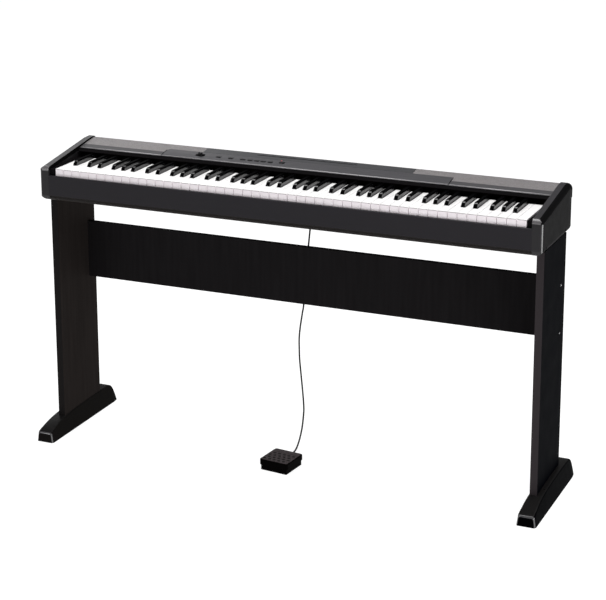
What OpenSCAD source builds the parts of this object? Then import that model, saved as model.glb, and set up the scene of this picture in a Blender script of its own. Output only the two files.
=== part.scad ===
// Digital piano on a two-leg stand, with a sustain pedal on the floor.
// Millimetres. +X runs along the keyboard to the treble, +Y to the rear, +Z up.
// The origin is on the floor, midway between the feet and midway along them.

/* [Keyboard] */
// Distance from one white key to the next
key_pitch = 23.5; // [22:0.1:24]
// Gap between two white keys
key_gap = 0.9; // [0.6:0.1:1.4]
// Height of the white key tops above the floor
key_top = 719; // [700:1:740]
// How far a key's front end goes down
key_travel = 10; // [8:0.5:11]
// Width of a black key
black_w = 10.4; // [9:0.1:11]
// Height of a black key above the white keys
black_h = 12; // [10:0.5:13]

/* [Case] */
// Width of the case over its end blocks
body_w = 1304; // [1290:1:1330]
// Depth of the case
body_d = 238; // [236:1:242]
// Thickness of each end block
end_t = 26; // [24:1:30]
// Height of the front rail's top above the floor
rail_top = 702; // [700:1:704]
// Height of the front rail's bottom above the floor
rail_bottom = 651; // [648:1:654]
// Height of the top cover at its front edge
lip_z = 741.2; // [740:0.1:743]
// Height of the top cover where the lip meets the grilles
crease_z = 746.3; // [745:0.1:747]
// Height of the top cover's crest, near its rear
crest_z = 753.6; // [752:0.1:754.5]

/* [Controls] */
// Left edge of the control panel
panel_left = -391; // [-396:1:-386]
// Right edge of the control panel
panel_right = 373; // [368:1:380]
// How far a button goes down
button_travel = 1.2; // [0.8:0.1:1.5]
// Travel of the volume knob
volume_travel = 14; // [10:1:16]

/* [Stand] */
// Height of the legs' top ends, where the case rests
stand_h = 639; // [636:1:641]
// Outer side of each leg, from the middle
leg_x = 646; // [640:1:650]
// Thickness of the leg boards
leg_t = 18; // [16:1:20]
// Depth of the leg boards
leg_d = 184; // [170:1:190]
// Bottom edge of the back panel
panel_z = 387; // [370:1:400]
// Height of the back panel
panel_h = 149; // [140:1:160]
// Length of each foot
foot_d = 340; // [330:1:360]
// Width of each foot on the floor
foot_w = 48; // [44:1:50]

/* [Pedal] */
// Width of the pedal plate
pedal_w = 80; // [74:1:84]
// Depth of the pedal plate
pedal_d = 80; // [76:1:86]
// How far the pedal's front edge goes down
pedal_travel = 5; // [3:0.5:6]
// Diameter of the pedal's cord
cord_d = 4.4; // [3.5:0.1:5]

/* [Hidden] */
$fn = 48;
front_y = 39 - foot_d / 2;          // the case's front face
half_w = body_w / 2;
inner_x = half_w - end_t;           // inner side of the end blocks
whites = 52;
keys_x = -whites * key_pitch / 2;   // left side of the lowest key
key_front = front_y + 8;
key_pivot_y = front_y + 186;
key_pivot_z = key_top - 14;
key_rear = key_pivot_y + 4;
white_end = front_y + 148;          // the white tops end under the strip in front of the top cover
sharp_front = key_front + 50;
skirt_bottom = key_top - 22;
key_angle = asin(key_travel / (key_pivot_y - key_front));
lip_y = front_y + 158;              // front edge of the top cover
crease_y = front_y + 178.5;
crest_y = front_y + 228;
seam_y = front_y + 200;             // between the control panel and the music ledge
rear_y = front_y + body_d;
skin = 2.5;                         // thickness of the plates on the top cover
leg_front = front_y + 39;
leg_rear = leg_front + leg_d;
board_t = 16;                       // thickness of the back panel
board_y = front_y + 186;
foot_x = 643;                       // middle of each foot
foot_pocket_z = 12;
button_x = [-240, -206, -173, -153, -135, -117, -98];
button_y = front_y + 180;
power_x = -68;
power_y = front_y + 184;
volume_x = -291;
volume_y = front_y + 180.5;
jack_x = -18;
jack_z = 690;
pedal_x = -16.5;
pedal_z = 28;                       // top of the pedal plate
pedal_y = front_y + 55;
pedal_turn = -6.5;                  // the pedal lies a little askew on the floor
pedal_rear = pedal_y + pedal_d / 2;
pin_y = pedal_rear - 12;
pin_z = 13;
// Half-tones above C of the white and the black keys, and each black key's shift from its gap
white_tones = [0, 2, 4, 5, 7, 9, 11];
sharp_slots = [0, 1, 3, 4, 5];
sharp_shift = [-3, 3, -4, 0, 4];
gland_x = pedal_x + 19;
gland_y = pedal_rear - 2;           // where the cord leaves the pedal
gland_z = 9;
plug_end = rear_y + 39;

// Where a point of the pedal is once the pedal has been turned
function turned_at(x, y) = [
  pedal_x + (x - pedal_x) * cos(pedal_turn) - (y - pedal_y) * sin(pedal_turn),
  pedal_y + (x - pedal_x) * sin(pedal_turn) + (y - pedal_y) * cos(pedal_turn)];

// The cord, from the plug's rear end down to the floor and along it to the pedal
cord_route = [
  [jack_x, plug_end, jack_z], [jack_x, plug_end + 7, jack_z - 0.7], [jack_x - 0.5, plug_end + 14, jack_z - 4],
  [jack_x - 3, plug_end + 18, jack_z - 11], [-25, plug_end + 18, 665], [-30, plug_end + 14, 638],
  [-32, plug_end + 7, 595], [-35.5, plug_end + 2, 540], [-41, plug_end, 480], [-46, plug_end, 420],
  [-51, plug_end, 355], [-55, plug_end, 330], [-61, plug_end, 292], [-64, plug_end, 262],
  [-63.5, plug_end - 1, 229], [-62, plug_end - 2, 202], [-56, plug_end - 6, 159],
  [-49, plug_end - 12, 116], [-42, plug_end - 22, 80], [-39, plug_end - 33, 57],
  [-35.5, plug_end - 49, 36], [-32, plug_end - 71, 17], [-28, plug_end - 95, 6.5],
  [-25, plug_end - 114, 3],
  [-22, plug_end - 136, 2.6], [-14, plug_end - 152, 3.6], [-5, plug_end - 168, 5.2],
  concat(turned_at(gland_x - 0.5, gland_y + 8), 7.6), concat(turned_at(gland_x, gland_y), gland_z)];

// ---------- helpers ----------

// A bar along X whose outline is given as [y, z] points
module bar(x0, x1, outline) {
  translate([x0, 0, 0]) rotate([90, 0, 90]) linear_extrude(x1 - x0) polygon(outline);
}

module block(x0, x1, y0, y1, z0, z1) {
  translate([x0, y0, z0]) cube([x1 - x0, y1 - y0, z1 - z0]);
}

module mirrored() {
  children();
  mirror([1, 0, 0]) children();
}

// Height of the top cover's outer surface at a depth y
function top_z(y) = y < crease_y
  ? lip_z + (crease_z - lip_z) * (y - lip_y) / (crease_y - lip_y)
  : crease_z + (crest_z - crease_z) * (y - crease_y) / (crest_y - crease_y);

// Outline of a plate on the top cover from y0 to y1, its upper side at drop below the surface
function skin_outline(y0, y1, drop, t) = concat(
  [[y0, top_z(y0) - drop]],
  y0 < crease_y && y1 > crease_y ? [[crease_y, crease_z - drop]] : [],
  [[y1, top_z(y1) - drop], [y1, top_z(y1) - drop - t]],
  y0 < crease_y && y1 > crease_y ? [[crease_y, crease_z - drop - t]] : [],
  [[y0, top_z(y0) - drop - t]]);

function unit(v) = v / norm(v);
function smooth(p, n) = [for (i = [0:len(p) - 2], s = [0:n - 1]) curve(p, i, s / n)];
// Catmull-Rom curve between points i and i + 1
function curve(p, i, t) = let (
    a = p[max(i - 1, 0)], b = p[i], c = p[i + 1], d = p[min(i + 2, len(p) - 1)])
  0.5 * (2 * b + (c - a) * t + (2 * a - 5 * b + 4 * c - d) * t * t + (3 * b - a - 3 * c + d) * t * t * t);

// A tube of diameter d along a path, as one closed mesh; side points start from the direction up
module sweep(path, d, sides, up) {
  n = len(path);
  rings = [for (i = [0:n - 1]) let (
      t = unit(path[min(i + 1, n - 1)] - path[max(i - 1, 0)]),
      u = unit(cross(t, up)), v = cross(t, u))
    for (k = [0:sides - 1]) path[i] + d / 2 * (cos(360 * k / sides) * u + sin(360 * k / sides) * v)];
  walls = [for (i = [0:n - 2], k = [0:sides - 1]) let (a = i * sides + k, b = i * sides + (k + 1) % sides)
    [a, b, b + sides, a + sides]];
  polyhedron(rings, concat([[for (k = [sides - 1:-1:0]) k]], walls,
    [[for (k = [0:sides - 1]) (n - 1) * sides + k]]), convexity = 10);
}

// ---------- case ----------

// Tray with a stepped front strip, and the rear wall on both sides of the socket plate
module lower_case() color("#1d1c1e") difference() {
  union() {
    block(-inner_x, inner_x, front_y + 12, rear_y, stand_h, stand_h + 3);
    bar(-inner_x, inner_x, [[front_y + 16, stand_h], [front_y + 8, stand_h], [front_y + 3, stand_h + 3],
      [front_y + 3, stand_h + 6], [front_y + 5.5, stand_h + 7], [front_y + 5.5, rail_bottom - 2.5],
      [front_y + 1.2, rail_bottom - 2], [front_y + 1.2, rail_bottom - 0.2],
      [front_y + 12, rail_bottom - 0.2], [front_y + 16, stand_h + 3]]);
    for (x = [-500:250:500]) block(x - 1.5, x + 1.5, front_y + 14, front_y + 193, stand_h, 655);
    block(-611, -560, leg_front, leg_rear, stand_h, 655);
    block(560, 611, leg_front, leg_rear, stand_h, 655);
    rear_wall(-inner_x, socket_plate[0] - 0.2);
    rear_wall(socket_plate[1] + 0.2, inner_x);
  }
  translate([jack_x, rear_y + 1, jack_z]) rotate([90, 0, 0]) cylinder(d = 12, h = 6);
  bracket_holes(7, 4);
}

socket_plate = [14, 66];            // sides of the plate round the power and computer sockets

module rear_wall(x0, x1) {
  block(x0, x1, rear_y - 3, rear_y, stand_h + 3.1, crease_z);
}

module front_rail() color("#2b292b") bar(-inner_x, inner_x, [
  [front_y, rail_bottom + 1], [front_y + 1, rail_bottom], [front_y + 12, rail_bottom],
  [front_y + 12, rail_bottom + 3], [front_y + 3.5, rail_bottom + 3], [front_y + 3.5, rail_top - 3],
  [front_y + 7, rail_top - 3], [front_y + 7, rail_top], [front_y + 1.5, rail_top], [front_y, rail_top - 1.5]]);

// Side plate of the case, with the narrow key cheek on its inner side; its lower front edge leans
// back, its lower outer edge is round, and two notches give access to the screws of the tray
module end_block() {
  difference() {
    intersection() {
      bar(inner_x, half_w, [[front_y + 7, stand_h], [front_y + 1, stand_h + 10], [front_y, stand_h + 13],
        [front_y, 713.2], [front_y + 4, 714], [front_y + 223, 744], [front_y + 223, 721],
        [rear_y - 3, 721], [rear_y - 3, stand_h + 2], [rear_y - 5, stand_h]]);
      translate([0, rear_y, 0]) rotate([90, 0, 0]) linear_extrude(body_d) polygon(concat(
        [[inner_x, 800], [inner_x, stand_h]],
        [for (a = [-90:15:0]) [half_w - edge_r + edge_r * cos(a), stand_h + edge_r + edge_r * sin(a)]],
        [[half_w, 800]]));
    }
    for (y = [front_y + 29, front_y + 190])
      block(half_w - 4, half_w + 1, y, y + 6, stand_h - 1, stand_h + 13);
  }
  block(-keys_x + 1.4, inner_x, key_front, lip_y - 4, rail_top + 1, key_top - 1);
}
edge_r = 13;                        // radius of the lower outer edge
module left_end_block() color("#2a292b") mirror([1, 0, 0]) end_block();
module right_end_block() color("#2a292b") end_block();

// Sloping cap on the side plate: a round nose, a round outer edge and a skirt behind the plate
module end_cap() {
  nose_r = 11;
  nose = [for (a = [180:-20:100]) [front_y + nose_r + nose_r * cos(a), 714.5 + nose_r * sin(a)]];
  intersection() {
    bar(inner_x, half_w + 0.6, concat(nose, [[front_y + 213, 755.6], [rear_y - 8, 756.4],
      [rear_y - 2, 754], [rear_y, 748], [rear_y, 721], [front_y + 223.6, 721],
      [front_y + 223.6, 744.6], [front_y + 4, 714.6], [front_y, 713.8]]));
    translate([0, front_y, 724.1]) rotate([cap_slope, 0, 0]) translate([0, 290, 0]) rotate([90, 0, 0])
      linear_extrude(340) polygon(concat([[inner_x, 0], [inner_x, -60], [half_w + 0.6, -60]],
        [for (a = [0:15:90]) [half_w + 0.6 - cap_r + cap_r * cos(a), cap_r * (sin(a) - 1)]]));
  }
}
cap_slope = 8.4;                    // degrees
cap_r = 11;                         // radius of the outer edge
module left_end_cap() color("#343335") mirror([1, 0, 0]) end_cap();
module right_end_cap() color("#343335") end_cap();

// Shell under the grilles and panels; its lip shows in front of each grille
module top_cover() color("#3a393b") difference() {
  union() {
    bar(-inner_x, inner_x, skin_outline(lip_y, crest_y, skin + 0.05, 2.4));
    bar(-inner_x, panel_left - 0.5, skin_outline(lip_y, crease_y - 0.5, 0, skin + 0.1));
    bar(panel_right + 0.5, inner_x, skin_outline(lip_y, crease_y - 0.5, 0, skin + 0.1));
    bar(-inner_x, inner_x, [[crest_y, crest_z - skin - 2.4], [crest_y, crest_z - skin],
      [crest_y + 0.3, crest_z - skin], [crest_y + 0.3, crest_z], [crest_y + 5, crest_z - 0.7],
      [rear_y - 1.5, crest_z - 2.6], [rear_y, crest_z - 6], [rear_y, crease_z + 0.3],
      [rear_y - 3, crease_z + 0.3]]);
  }
  mirrored() block(440, 580, crease_y + 6, crest_y - 6, 735, 760);
  for (x = button_x) button_hole(x, button_y, 7.6, 4.8);
  button_hole(power_x, power_y, 7.6, 6.6);
  block(volume_x - 12, volume_x + 12, volume_y - 3.3, volume_y + 3.3, 735, 760);
}

module button_hole(x, y, hx, hy) {
  block(x - hx, x + hx, y - hy, y + hy, 735, 760);
}

module control_panel() color("#4b4a4c") difference() {
  bar(panel_left, panel_right, skin_outline(lip_y + 0.3, seam_y - 0.3, 0, skin));
  for (x = button_x) button_hole(x, button_y, 6.9, 4.1);
  button_hole(power_x, power_y, 7, 6);
  button_hole(power_x - 6, power_y + 11, 2.2, 2.2);
  block(volume_x - 5.5, volume_x + 5.5, volume_y - 8, volume_y + 8, 735, 760);
  for (s = [-1, 1]) translate([volume_x + 5.5 * s, volume_y, 735]) cylinder(r = 8, h = 25);
}

// Rear strip with the groove that a music rest stands in
module music_ledge() color("#454446") difference() {
  bar(-293, 268, skin_outline(seam_y + 0.3, crest_y, 0, skin));
  block(-150, 118, seam_y + 15, seam_y + 19, top_z(seam_y + 17) - 2, 760);
}

module grille(x_end, x_front, x_rear) {
  bar(x_end, x_front, skin_outline(crease_y, seam_y, 0, skin));
  bar(x_end, x_rear, skin_outline(seam_y, crest_y, 0, skin));
}
module left_grille() color("#868283") grille(-inner_x + 1, panel_left - 0.6, -293.8);
module right_grille() color("#868283") mirror([1, 0, 0]) grille(-inner_x + 1, -panel_right - 0.6, -268.8);

// Black strip that slopes down from the lip to just above the black keys
module key_back_cover() color("#141315") bar(-inner_x, inner_x, [[white_end - 1, 732.8],
  [white_end - 1, 734.2], [lip_y - 0.2, lip_z - 1], [lip_y - 0.2, lip_z - 5.3],
  [lip_y + 10, lip_z - 5.3], [lip_y + 10, 732.8]]);

// ---------- key action ----------

module key_chassis() color("#55585c") {
  bar(-608, 608, [[front_y + 14, 655], [front_y + 194, 655], [front_y + 194, 690], [front_y + 178, 690],
    [front_y + 178, 687], [front_y + 191, 687], [front_y + 191, 658], [front_y + 52, 658],
    [front_y + 52, 684], [front_y + 14, 684], [front_y + 14, 681], [front_y + 49, 681],
    [front_y + 49, 658], [front_y + 14, 658]]);
}

module key_pivot_rail() color("silver")
  block(-608, 608, key_pivot_y - 2, key_pivot_y + 2, 690, key_pivot_z - 0.4);

module key_stop_felt() color("#7a2a2a") block(-608, 608, front_y + 18, front_y + 46, 684, 686.4);

module contact_board() color("#2c5a34") {
  block(-606, 606, front_y + 90, front_y + 140, 658, 661.6);
  for (x = [-590:23.5:590]) block(x - 5, x + 5, front_y + 104, front_y + 126, 661.6, 668);
}

// Half-width that a white key leaves free beside a black key's middle line
notch = black_w / 2 + 1.3;
// Offset of a black key from the left side of the white key on its right, for keys that have one
function sharp_at(slot) = let (i = search(slot, sharp_slots)) len(i) > 0 ? sharp_shift[i[0]] : undef;

// One white key; its left side is at x and it is step number s in the octave, C being 0
module white_key(x, s, lowest = false, highest = false) {
  left = lowest || s == 0 || s == 3 ? 0 : sharp_at(s - 1) + notch;
  right = highest || s == 2 || s == 6 ? 0 : notch - sharp_at(s);
  x0 = x + key_gap / 2;
  x1 = x + key_pitch - key_gap / 2;
  r0 = left == 0 ? x0 : x + left;
  r1 = right == 0 ? x1 : x + key_pitch - right;
  block(x0, x1, key_front, sharp_front - 1, skirt_bottom, key_top);
  block(r0, r1, sharp_front - 2, white_end, key_pivot_z, key_top);
  block(r0, r1, white_end - 1, key_rear, key_pivot_z, key_pivot_z + 6);
}

// One black key in the gap on the right of step s, x being the left side of that step's white key
module black_key(x, s) {
  c = x + key_pitch + sharp_at(s);
  bar(c - black_w / 2, c + black_w / 2, [[sharp_front, key_pivot_z], [sharp_front, key_top + 2],
    [sharp_front + 2, key_top + 4], [sharp_front + 9, key_top + black_h - 0.8],
    [sharp_front + 11, key_top + black_h], [white_end + 4, key_top + black_h],
    [white_end + 7, key_top + 6], [key_rear, key_pivot_z + 6], [key_rear, key_pivot_z]]);
}

// White key number i of the keyboard is step (i + 5) % 7: the lowest key is an A
function step(i) = (i + 5) % 7;
function white_x(i) = keys_x + i * key_pitch;
function has_sharp(i) = i < whites - 1 && step(i) != 2 && step(i) != 6;
middle = 23;                        // number of the middle C among the white keys

module white_group(i0, i1) color("#f1f0ee") for (i = [i0:i1])
  white_key(white_x(i), step(i), i == 0, i == whites - 1);
module black_group(i0, i1) color("#0d0d0e") for (i = [i0:i1])
  if (has_sharp(i)) black_key(white_x(i), step(i));

module bass_white_keys() white_group(0, middle - 1);
module bass_black_keys() black_group(0, middle - 1);
module treble_white_keys() white_group(middle + 7, whites - 1);
module treble_black_keys() black_group(middle + 7, whites - 1);
module key_c() white_group(middle, middle);
module key_d() white_group(middle + 1, middle + 1);
module key_e() white_group(middle + 2, middle + 2);
module key_f() white_group(middle + 3, middle + 3);
module key_g() white_group(middle + 4, middle + 4);
module key_a() white_group(middle + 5, middle + 5);
module key_b() white_group(middle + 6, middle + 6);
module key_c_sharp() black_group(middle, middle);
module key_d_sharp() black_group(middle + 1, middle + 1);
module key_f_sharp() black_group(middle + 3, middle + 3);
module key_g_sharp() black_group(middle + 4, middle + 4);
module key_a_sharp() black_group(middle + 5, middle + 5);

// ---------- electronics and controls ----------

module speaker_drivers() color("#26262a") for (x = [-510, 510]) translate([x, front_y + 205, 0]) {
  translate([-62, -17, 738]) cube([124, 34, 3]);
  translate([-40, -14, 712]) cube([80, 28, 26]);
}

module main_board() color("#2c5a34") {
  block(-240, 90, front_y + 198, front_y + 230, 643, 645);
  block(-200, -160, front_y + 204, front_y + 224, 645, 649);
  block(-120, -90, front_y + 206, front_y + 222, 645, 655);
  block(-250, -58, front_y + 170, front_y + 192, 733.8, 735.4);
}

// Pedal jack, power inlet and computer port, with the plate round the last two
module rear_sockets() color("#161617") {
  difference() {
    block(socket_plate[0], socket_plate[1], rear_y - 3, rear_y, stand_h + 3.1, crease_z);
    block(18, 30, rear_y - 4, rear_y + 1, 684, 696);
    block(46, 60, rear_y - 4, rear_y + 1, 684, 696);
  }
  difference() {
    union() {
      translate([jack_x, rear_y + 1.5, jack_z]) rotate([90, 0, 0]) cylinder(d = 11, h = 5);
      block(jack_x - 7, jack_x + 7, rear_y - 32, rear_y - 3.5, jack_z - 7, jack_z + 7);
    }
    translate([jack_x, rear_y + 2, jack_z]) rotate([90, 0, 0]) cylinder(d = 6.5, h = 31);
  }
  difference() {
    block(18.5, 29.5, rear_y - 18, rear_y + 0.5, 684.5, 695.5);
    translate([24, rear_y + 1, 690]) rotate([90, 0, 0]) cylinder(d = 6.5, h = 12);
  }
  difference() {
    block(46.5, 59.5, rear_y - 18, rear_y + 0.5, 684.5, 695.5);
    block(48.5, 57.5, rear_y - 10, rear_y + 1, 686, 694);
  }
}

module power_lamp() color("#d0342c")
  block(power_x - 8, power_x - 4, power_y + 9, power_y + 13, top_z(power_y + 13) - 2.4,
    top_z(power_y + 13) + 0.2);

module volume_knob() color("#232325") {
  z = top_z(volume_y);
  block(volume_x - 2.5, volume_x + 2.5, volume_y - 2.8, volume_y + 2.8, 737, z - 1.6);
  block(volume_x - 4.5, volume_x + 4.5, volume_y - 4, volume_y + 4, z - 1.6, z + 6.8);
}

module button(x, y, hx, hy) {
  block(x - hx, x + hx, y - hy, y + hy, 740.8, top_z(y) + 1.1);
}
module key_button(i) color("#2a2a2c") button(button_x[i], button_y, 6.4, 3.6);
module button_1() key_button(0);
module button_2() key_button(1);
module button_3() key_button(2);
module button_4() key_button(3);
module button_5() key_button(4);
module button_6() key_button(5);
module button_7() key_button(6);
module power_button() color("#2a2a2c") button(power_x, power_y, 6.5, 5.5);

// ---------- stand ----------

screw_z = [panel_z + 11, panel_z + panel_h - 20];

module screw_holes(d_head, d_hole) for (z = screw_z)
  translate([leg_x + 1, board_y + board_t / 2, z]) rotate([0, -90, 0]) {
    cylinder(d = d_head, h = 5);
    cylinder(d = d_hole, h = 46);
  }

module leg() color("#161415") difference() {
  block(leg_x - leg_t, leg_x, leg_front, leg_rear, foot_pocket_z, stand_h);
  screw_holes(9, 5);
}
module right_leg() leg();
module left_leg() mirror([1, 0, 0]) leg();

// Side view of a foot, from the nose over the top to the rear
foot_outline = [[-170, 0], [-168, 20], [-165, 25.5], [-160, 29], [-140, 36], [-115, 42.5], [-85, 47],
  [-40, 50.5], [20, 52.5], [80, 53.2], [130, 52.6], [143, 50.6], [151, 46], [157, 38], [170, 0]];

// Moulded foot: arched along its length, leaning in on both sides, with a pocket for the leg
module foot() color("#1b1a1b") difference() {
  intersection() {
    bar(600, 680, [for (p = foot_outline) [p[0] * foot_d / 340, p[1]]]);
    translate([foot_x, foot_d, 0]) rotate([90, 0, 0]) linear_extrude(2 * foot_d)
      polygon([[-foot_w / 2, 0], [foot_w / 2, 0], [foot_w / 2 - 8.5, 62], [-foot_w / 2 + 8.5, 62]]);
  }
  block(leg_x - leg_t, leg_x, leg_front, leg_rear, foot_pocket_z, 80);
}
module right_foot() foot();
module left_foot() mirror([1, 0, 0]) foot();

module back_panel() color("#121213") difference() {
  block(-leg_x + leg_t, leg_x - leg_t, board_y, board_y + board_t, panel_z, panel_z + panel_h);
  mirrored() screw_holes(9, 4.9);
}

bracket_y = [leg_front + 40, leg_rear - 40];

module bracket_holes(d, h) mirrored() for (y = bracket_y)
  translate([leg_x - leg_t - 15, y, stand_h - 1]) cylinder(d = d, h = h + 1);

// Angle brackets between the legs' inner sides and the bottom of the case
module leg_brackets() color("#2e2e30") difference() {
  mirrored() for (y = bracket_y) {
    block(leg_x - leg_t - 26, leg_x - leg_t, y - 11, y + 11, stand_h - 2, stand_h);
    block(leg_x - leg_t - 2, leg_x - leg_t, y - 11, y + 11, stand_h - 18, stand_h - 2);
  }
  translate([0, 0, -4]) bracket_holes(6.4, 8);
}

module stand_bolts() color("#3a3a3c") mirrored() for (y = bracket_y)
  translate([leg_x - leg_t - 15, y, 0]) {
    translate([0, 0, stand_h - 6]) cylinder(d = 12, h = 4);
    translate([0, 0, stand_h - 6]) cylinder(d = 6, h = 8.6);
  }

module panel_screws() color("#8d8d90") mirrored() for (z = screw_z)
  translate([leg_x - 1.2, board_y + board_t / 2, z]) rotate([0, -90, 0]) {
    cylinder(d = 8.4, h = 2.8);
    cylinder(d = 4.4, h = 38);
  }

// ---------- pedal ----------

// Turns the pedal's parts about the middle of the pedal
module turned() translate([pedal_x, pedal_y, 0]) rotate(pedal_turn) translate([-pedal_x, -pedal_y, 0]) children();

module pedal_base() color("#1a1a1b") turned() difference() {
  bx = pedal_w / 2 - 3.5;           // half the base's width
  by = pedal_d / 2 - 3;             // half its depth
  wall = 3;
  union() {
    difference() {
      block(pedal_x - bx, pedal_x + bx, pedal_y - by, pedal_y + by, 0, pedal_z - 9.5);
      block(pedal_x - bx + wall, pedal_x + bx - wall, pedal_y - by + wall, pedal_y + by - wall, 2.5, pedal_z);
    }
    for (s = [-1, 1]) translate([pedal_x + s * 17 - 3, pin_y, 0]) {
      translate([0, -4, 2]) cube([6, 8, pin_z - 2]);
      translate([0, 0, pin_z]) rotate([0, 90, 0]) cylinder(d = 8, h = 6);
    }
    translate([gland_x, gland_y, gland_z]) rotate([90, 0, 0]) cylinder(d = 8, h = 5);
  }
  translate([pedal_x - 30, pin_y, pin_z]) rotate([0, 90, 0]) cylinder(d = 4.1, h = 60);
}

// Cover that the foot presses: a flat top with a skirt, and lugs round the pin
module pedal_plate() color("#242224") turned() difference() {
  px = pedal_w / 2;
  union() {
    difference() {
      block(pedal_x - px, pedal_x + px, pedal_y - pedal_d / 2, pedal_rear, pedal_z - 14, pedal_z);
      block(pedal_x - px + 2, pedal_x + px - 2, pedal_y - pedal_d / 2 + 2, pedal_rear - 2, pedal_z - 15,
        pedal_z - 2.5);
    }
    for (s = [-1, 1]) translate([pedal_x + s * 24 - 2.5, pin_y, 0]) {
      translate([0, -4, pin_z]) cube([5, 8, pedal_z - 2 - pin_z]);
      translate([0, 0, pin_z]) rotate([0, 90, 0]) cylinder(d = 8, h = 5);
    }
  }
  translate([pedal_x - 30, pin_y, pin_z]) rotate([0, 90, 0]) cylinder(d = 4.1, h = 60);
}

// Rubber mat with a plain band at the rear and staggered rows of bumps
module pedal_tread() color("#463e40") turned() {
  tread_x = pedal_w / 2 - 3;        // half the mat's width
  block(pedal_x - tread_x, pedal_x + tread_x, pedal_y - 37, pedal_y + 37, pedal_z, pedal_z + 1.6);
  for (row = [0:3], col = [0:4])
    translate([pedal_x - 3.5 + (col - 2) * 13.5 + (row % 2 == 0 ? -3 : 3), pedal_y - 32 + row * 13,
      pedal_z + 1.5]) cube([7, 5, 1.1]);
}

module pedal_pin() color("silver") turned() translate([pedal_x - 27.4, pin_y, pin_z]) rotate([0, 90, 0])
  cylinder(d = 4, h = 54.8);

// Coil spring between the base's floor and the plate
module pedal_spring() color("#b9bbbf") turned() {
  turns = 5;
  sweep([for (i = [0:turns * 14]) let (a = i * 360 / 14)
    [pedal_x + 7 * cos(a), pedal_y - 10 + 7 * sin(a), 3.8 + i * (pedal_z - 8) / (turns * 14)]], 1.6, 8, [0, 0, 1]);
}

module pedal_cord() color("#141415") sweep(concat(smooth(cord_route, 4), [cord_route[len(cord_route) - 1]]),
  cord_d, 8, [1, 0, 0]);

// Plug in the pedal jack: tip, grip and strain relief
module pedal_plug() color("#19191a") translate([jack_x, rear_y + 1.8, jack_z]) rotate([-90, 0, 0]) {
  translate([0, 0, -26]) cylinder(d = 6.3, h = 27);
  cylinder(d = 12, h = 24);
  translate([0, 0, 24]) cylinder(d1 = 10, d2 = 6.4, h = 13.2);
}

// ---------- drawing ----------

lower_case();
front_rail();
left_end_block();
right_end_block();
left_end_cap();
right_end_cap();
top_cover();
control_panel();
music_ledge();
left_grille();
right_grille();
key_back_cover();
key_chassis();
key_pivot_rail();
key_stop_felt();
contact_board();
speaker_drivers();
main_board();
rear_sockets();
power_lamp();
bass_white_keys();
bass_black_keys();
key_c();
key_c_sharp();
key_d();
key_d_sharp();
key_e();
key_f();
key_f_sharp();
key_g();
key_g_sharp();
key_a();
key_a_sharp();
key_b();
treble_white_keys();
treble_black_keys();
volume_knob();
button_1();
button_2();
button_3();
button_4();
button_5();
button_6();
button_7();
power_button();
left_leg();
right_leg();
left_foot();
right_foot();
back_panel();
leg_brackets();
stand_bolts();
panel_screws();
pedal_base();
pedal_plate();
pedal_tread();
pedal_pin();
pedal_spring();
pedal_cord();
pedal_plug();
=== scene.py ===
"""Looks of the digital piano on its stand. Metres, in the CAD frame: +X treble, +Y rear, +Z up."""
import math

import bmesh
import bpy
from mathutils import Matrix, Vector


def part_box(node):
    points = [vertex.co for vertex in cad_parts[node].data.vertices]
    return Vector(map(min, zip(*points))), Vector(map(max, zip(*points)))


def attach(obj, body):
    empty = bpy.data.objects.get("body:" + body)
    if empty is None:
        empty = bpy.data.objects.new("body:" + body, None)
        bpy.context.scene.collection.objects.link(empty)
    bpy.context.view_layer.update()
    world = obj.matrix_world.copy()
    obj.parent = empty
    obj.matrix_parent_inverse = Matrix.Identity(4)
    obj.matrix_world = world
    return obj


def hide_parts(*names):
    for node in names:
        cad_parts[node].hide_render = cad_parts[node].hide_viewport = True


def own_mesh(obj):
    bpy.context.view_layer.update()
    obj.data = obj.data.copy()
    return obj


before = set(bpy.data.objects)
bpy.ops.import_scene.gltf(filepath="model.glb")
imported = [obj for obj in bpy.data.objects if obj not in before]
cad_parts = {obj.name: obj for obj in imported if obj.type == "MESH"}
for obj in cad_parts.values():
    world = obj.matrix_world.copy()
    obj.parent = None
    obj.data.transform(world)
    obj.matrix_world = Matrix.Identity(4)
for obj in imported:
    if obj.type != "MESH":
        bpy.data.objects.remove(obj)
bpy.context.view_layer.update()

ROOT = "piano_and_stand"
MM = 0.001


def mm(*values):
    """A point or a list of sizes given in millimetres, in metres."""
    return tuple(value * MM for value in values)


def lo(node):
    """The low corner of a CAD node's box, in metres."""
    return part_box(node)[0]


def hi(node):
    """The high corner of a CAD node's box, in metres."""
    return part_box(node)[1]


# ---------- camera ----------

CAMERA_AZIMUTH = math.radians(23.575)
CAMERA_HEIGHT_ANGLE = math.radians(14.254)
CAMERA_ROLL = math.radians(-0.15)
CAMERA_PLACE = (1.7113, -3.8954, 1.8061)
SENSOR_WIDTH = 36
FRAME_WIDTH = 606  # pixels
FOCAL_PIXELS = 1807.6
LENS_SHIFT = -0.2  # the legs stay nearly upright although the camera looks down


def make_camera():
    """The camera that was fitted to the photo's edges."""
    data = bpy.data.cameras.new("camera")
    data.sensor_width = SENSOR_WIDTH
    data.lens = SENSOR_WIDTH * FOCAL_PIXELS / FRAME_WIDTH
    data.shift_y = LENS_SHIFT
    camera = bpy.data.objects.new("camera", data)
    bpy.context.scene.collection.objects.link(camera)
    flat = math.cos(CAMERA_HEIGHT_ANGLE)
    back = Vector((math.sin(CAMERA_AZIMUTH) * flat, -math.cos(CAMERA_AZIMUTH) * flat,
                   math.sin(CAMERA_HEIGHT_ANGLE)))
    camera.location = CAMERA_PLACE
    turn = (-back).to_track_quat("-Z", "Y").to_matrix().to_4x4()
    roll = turn.Rotation(CAMERA_ROLL, 4, "Z")
    camera.rotation_euler = (turn @ roll).to_euler()
    bpy.context.scene.camera = camera


# ---------- materials ----------

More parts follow.
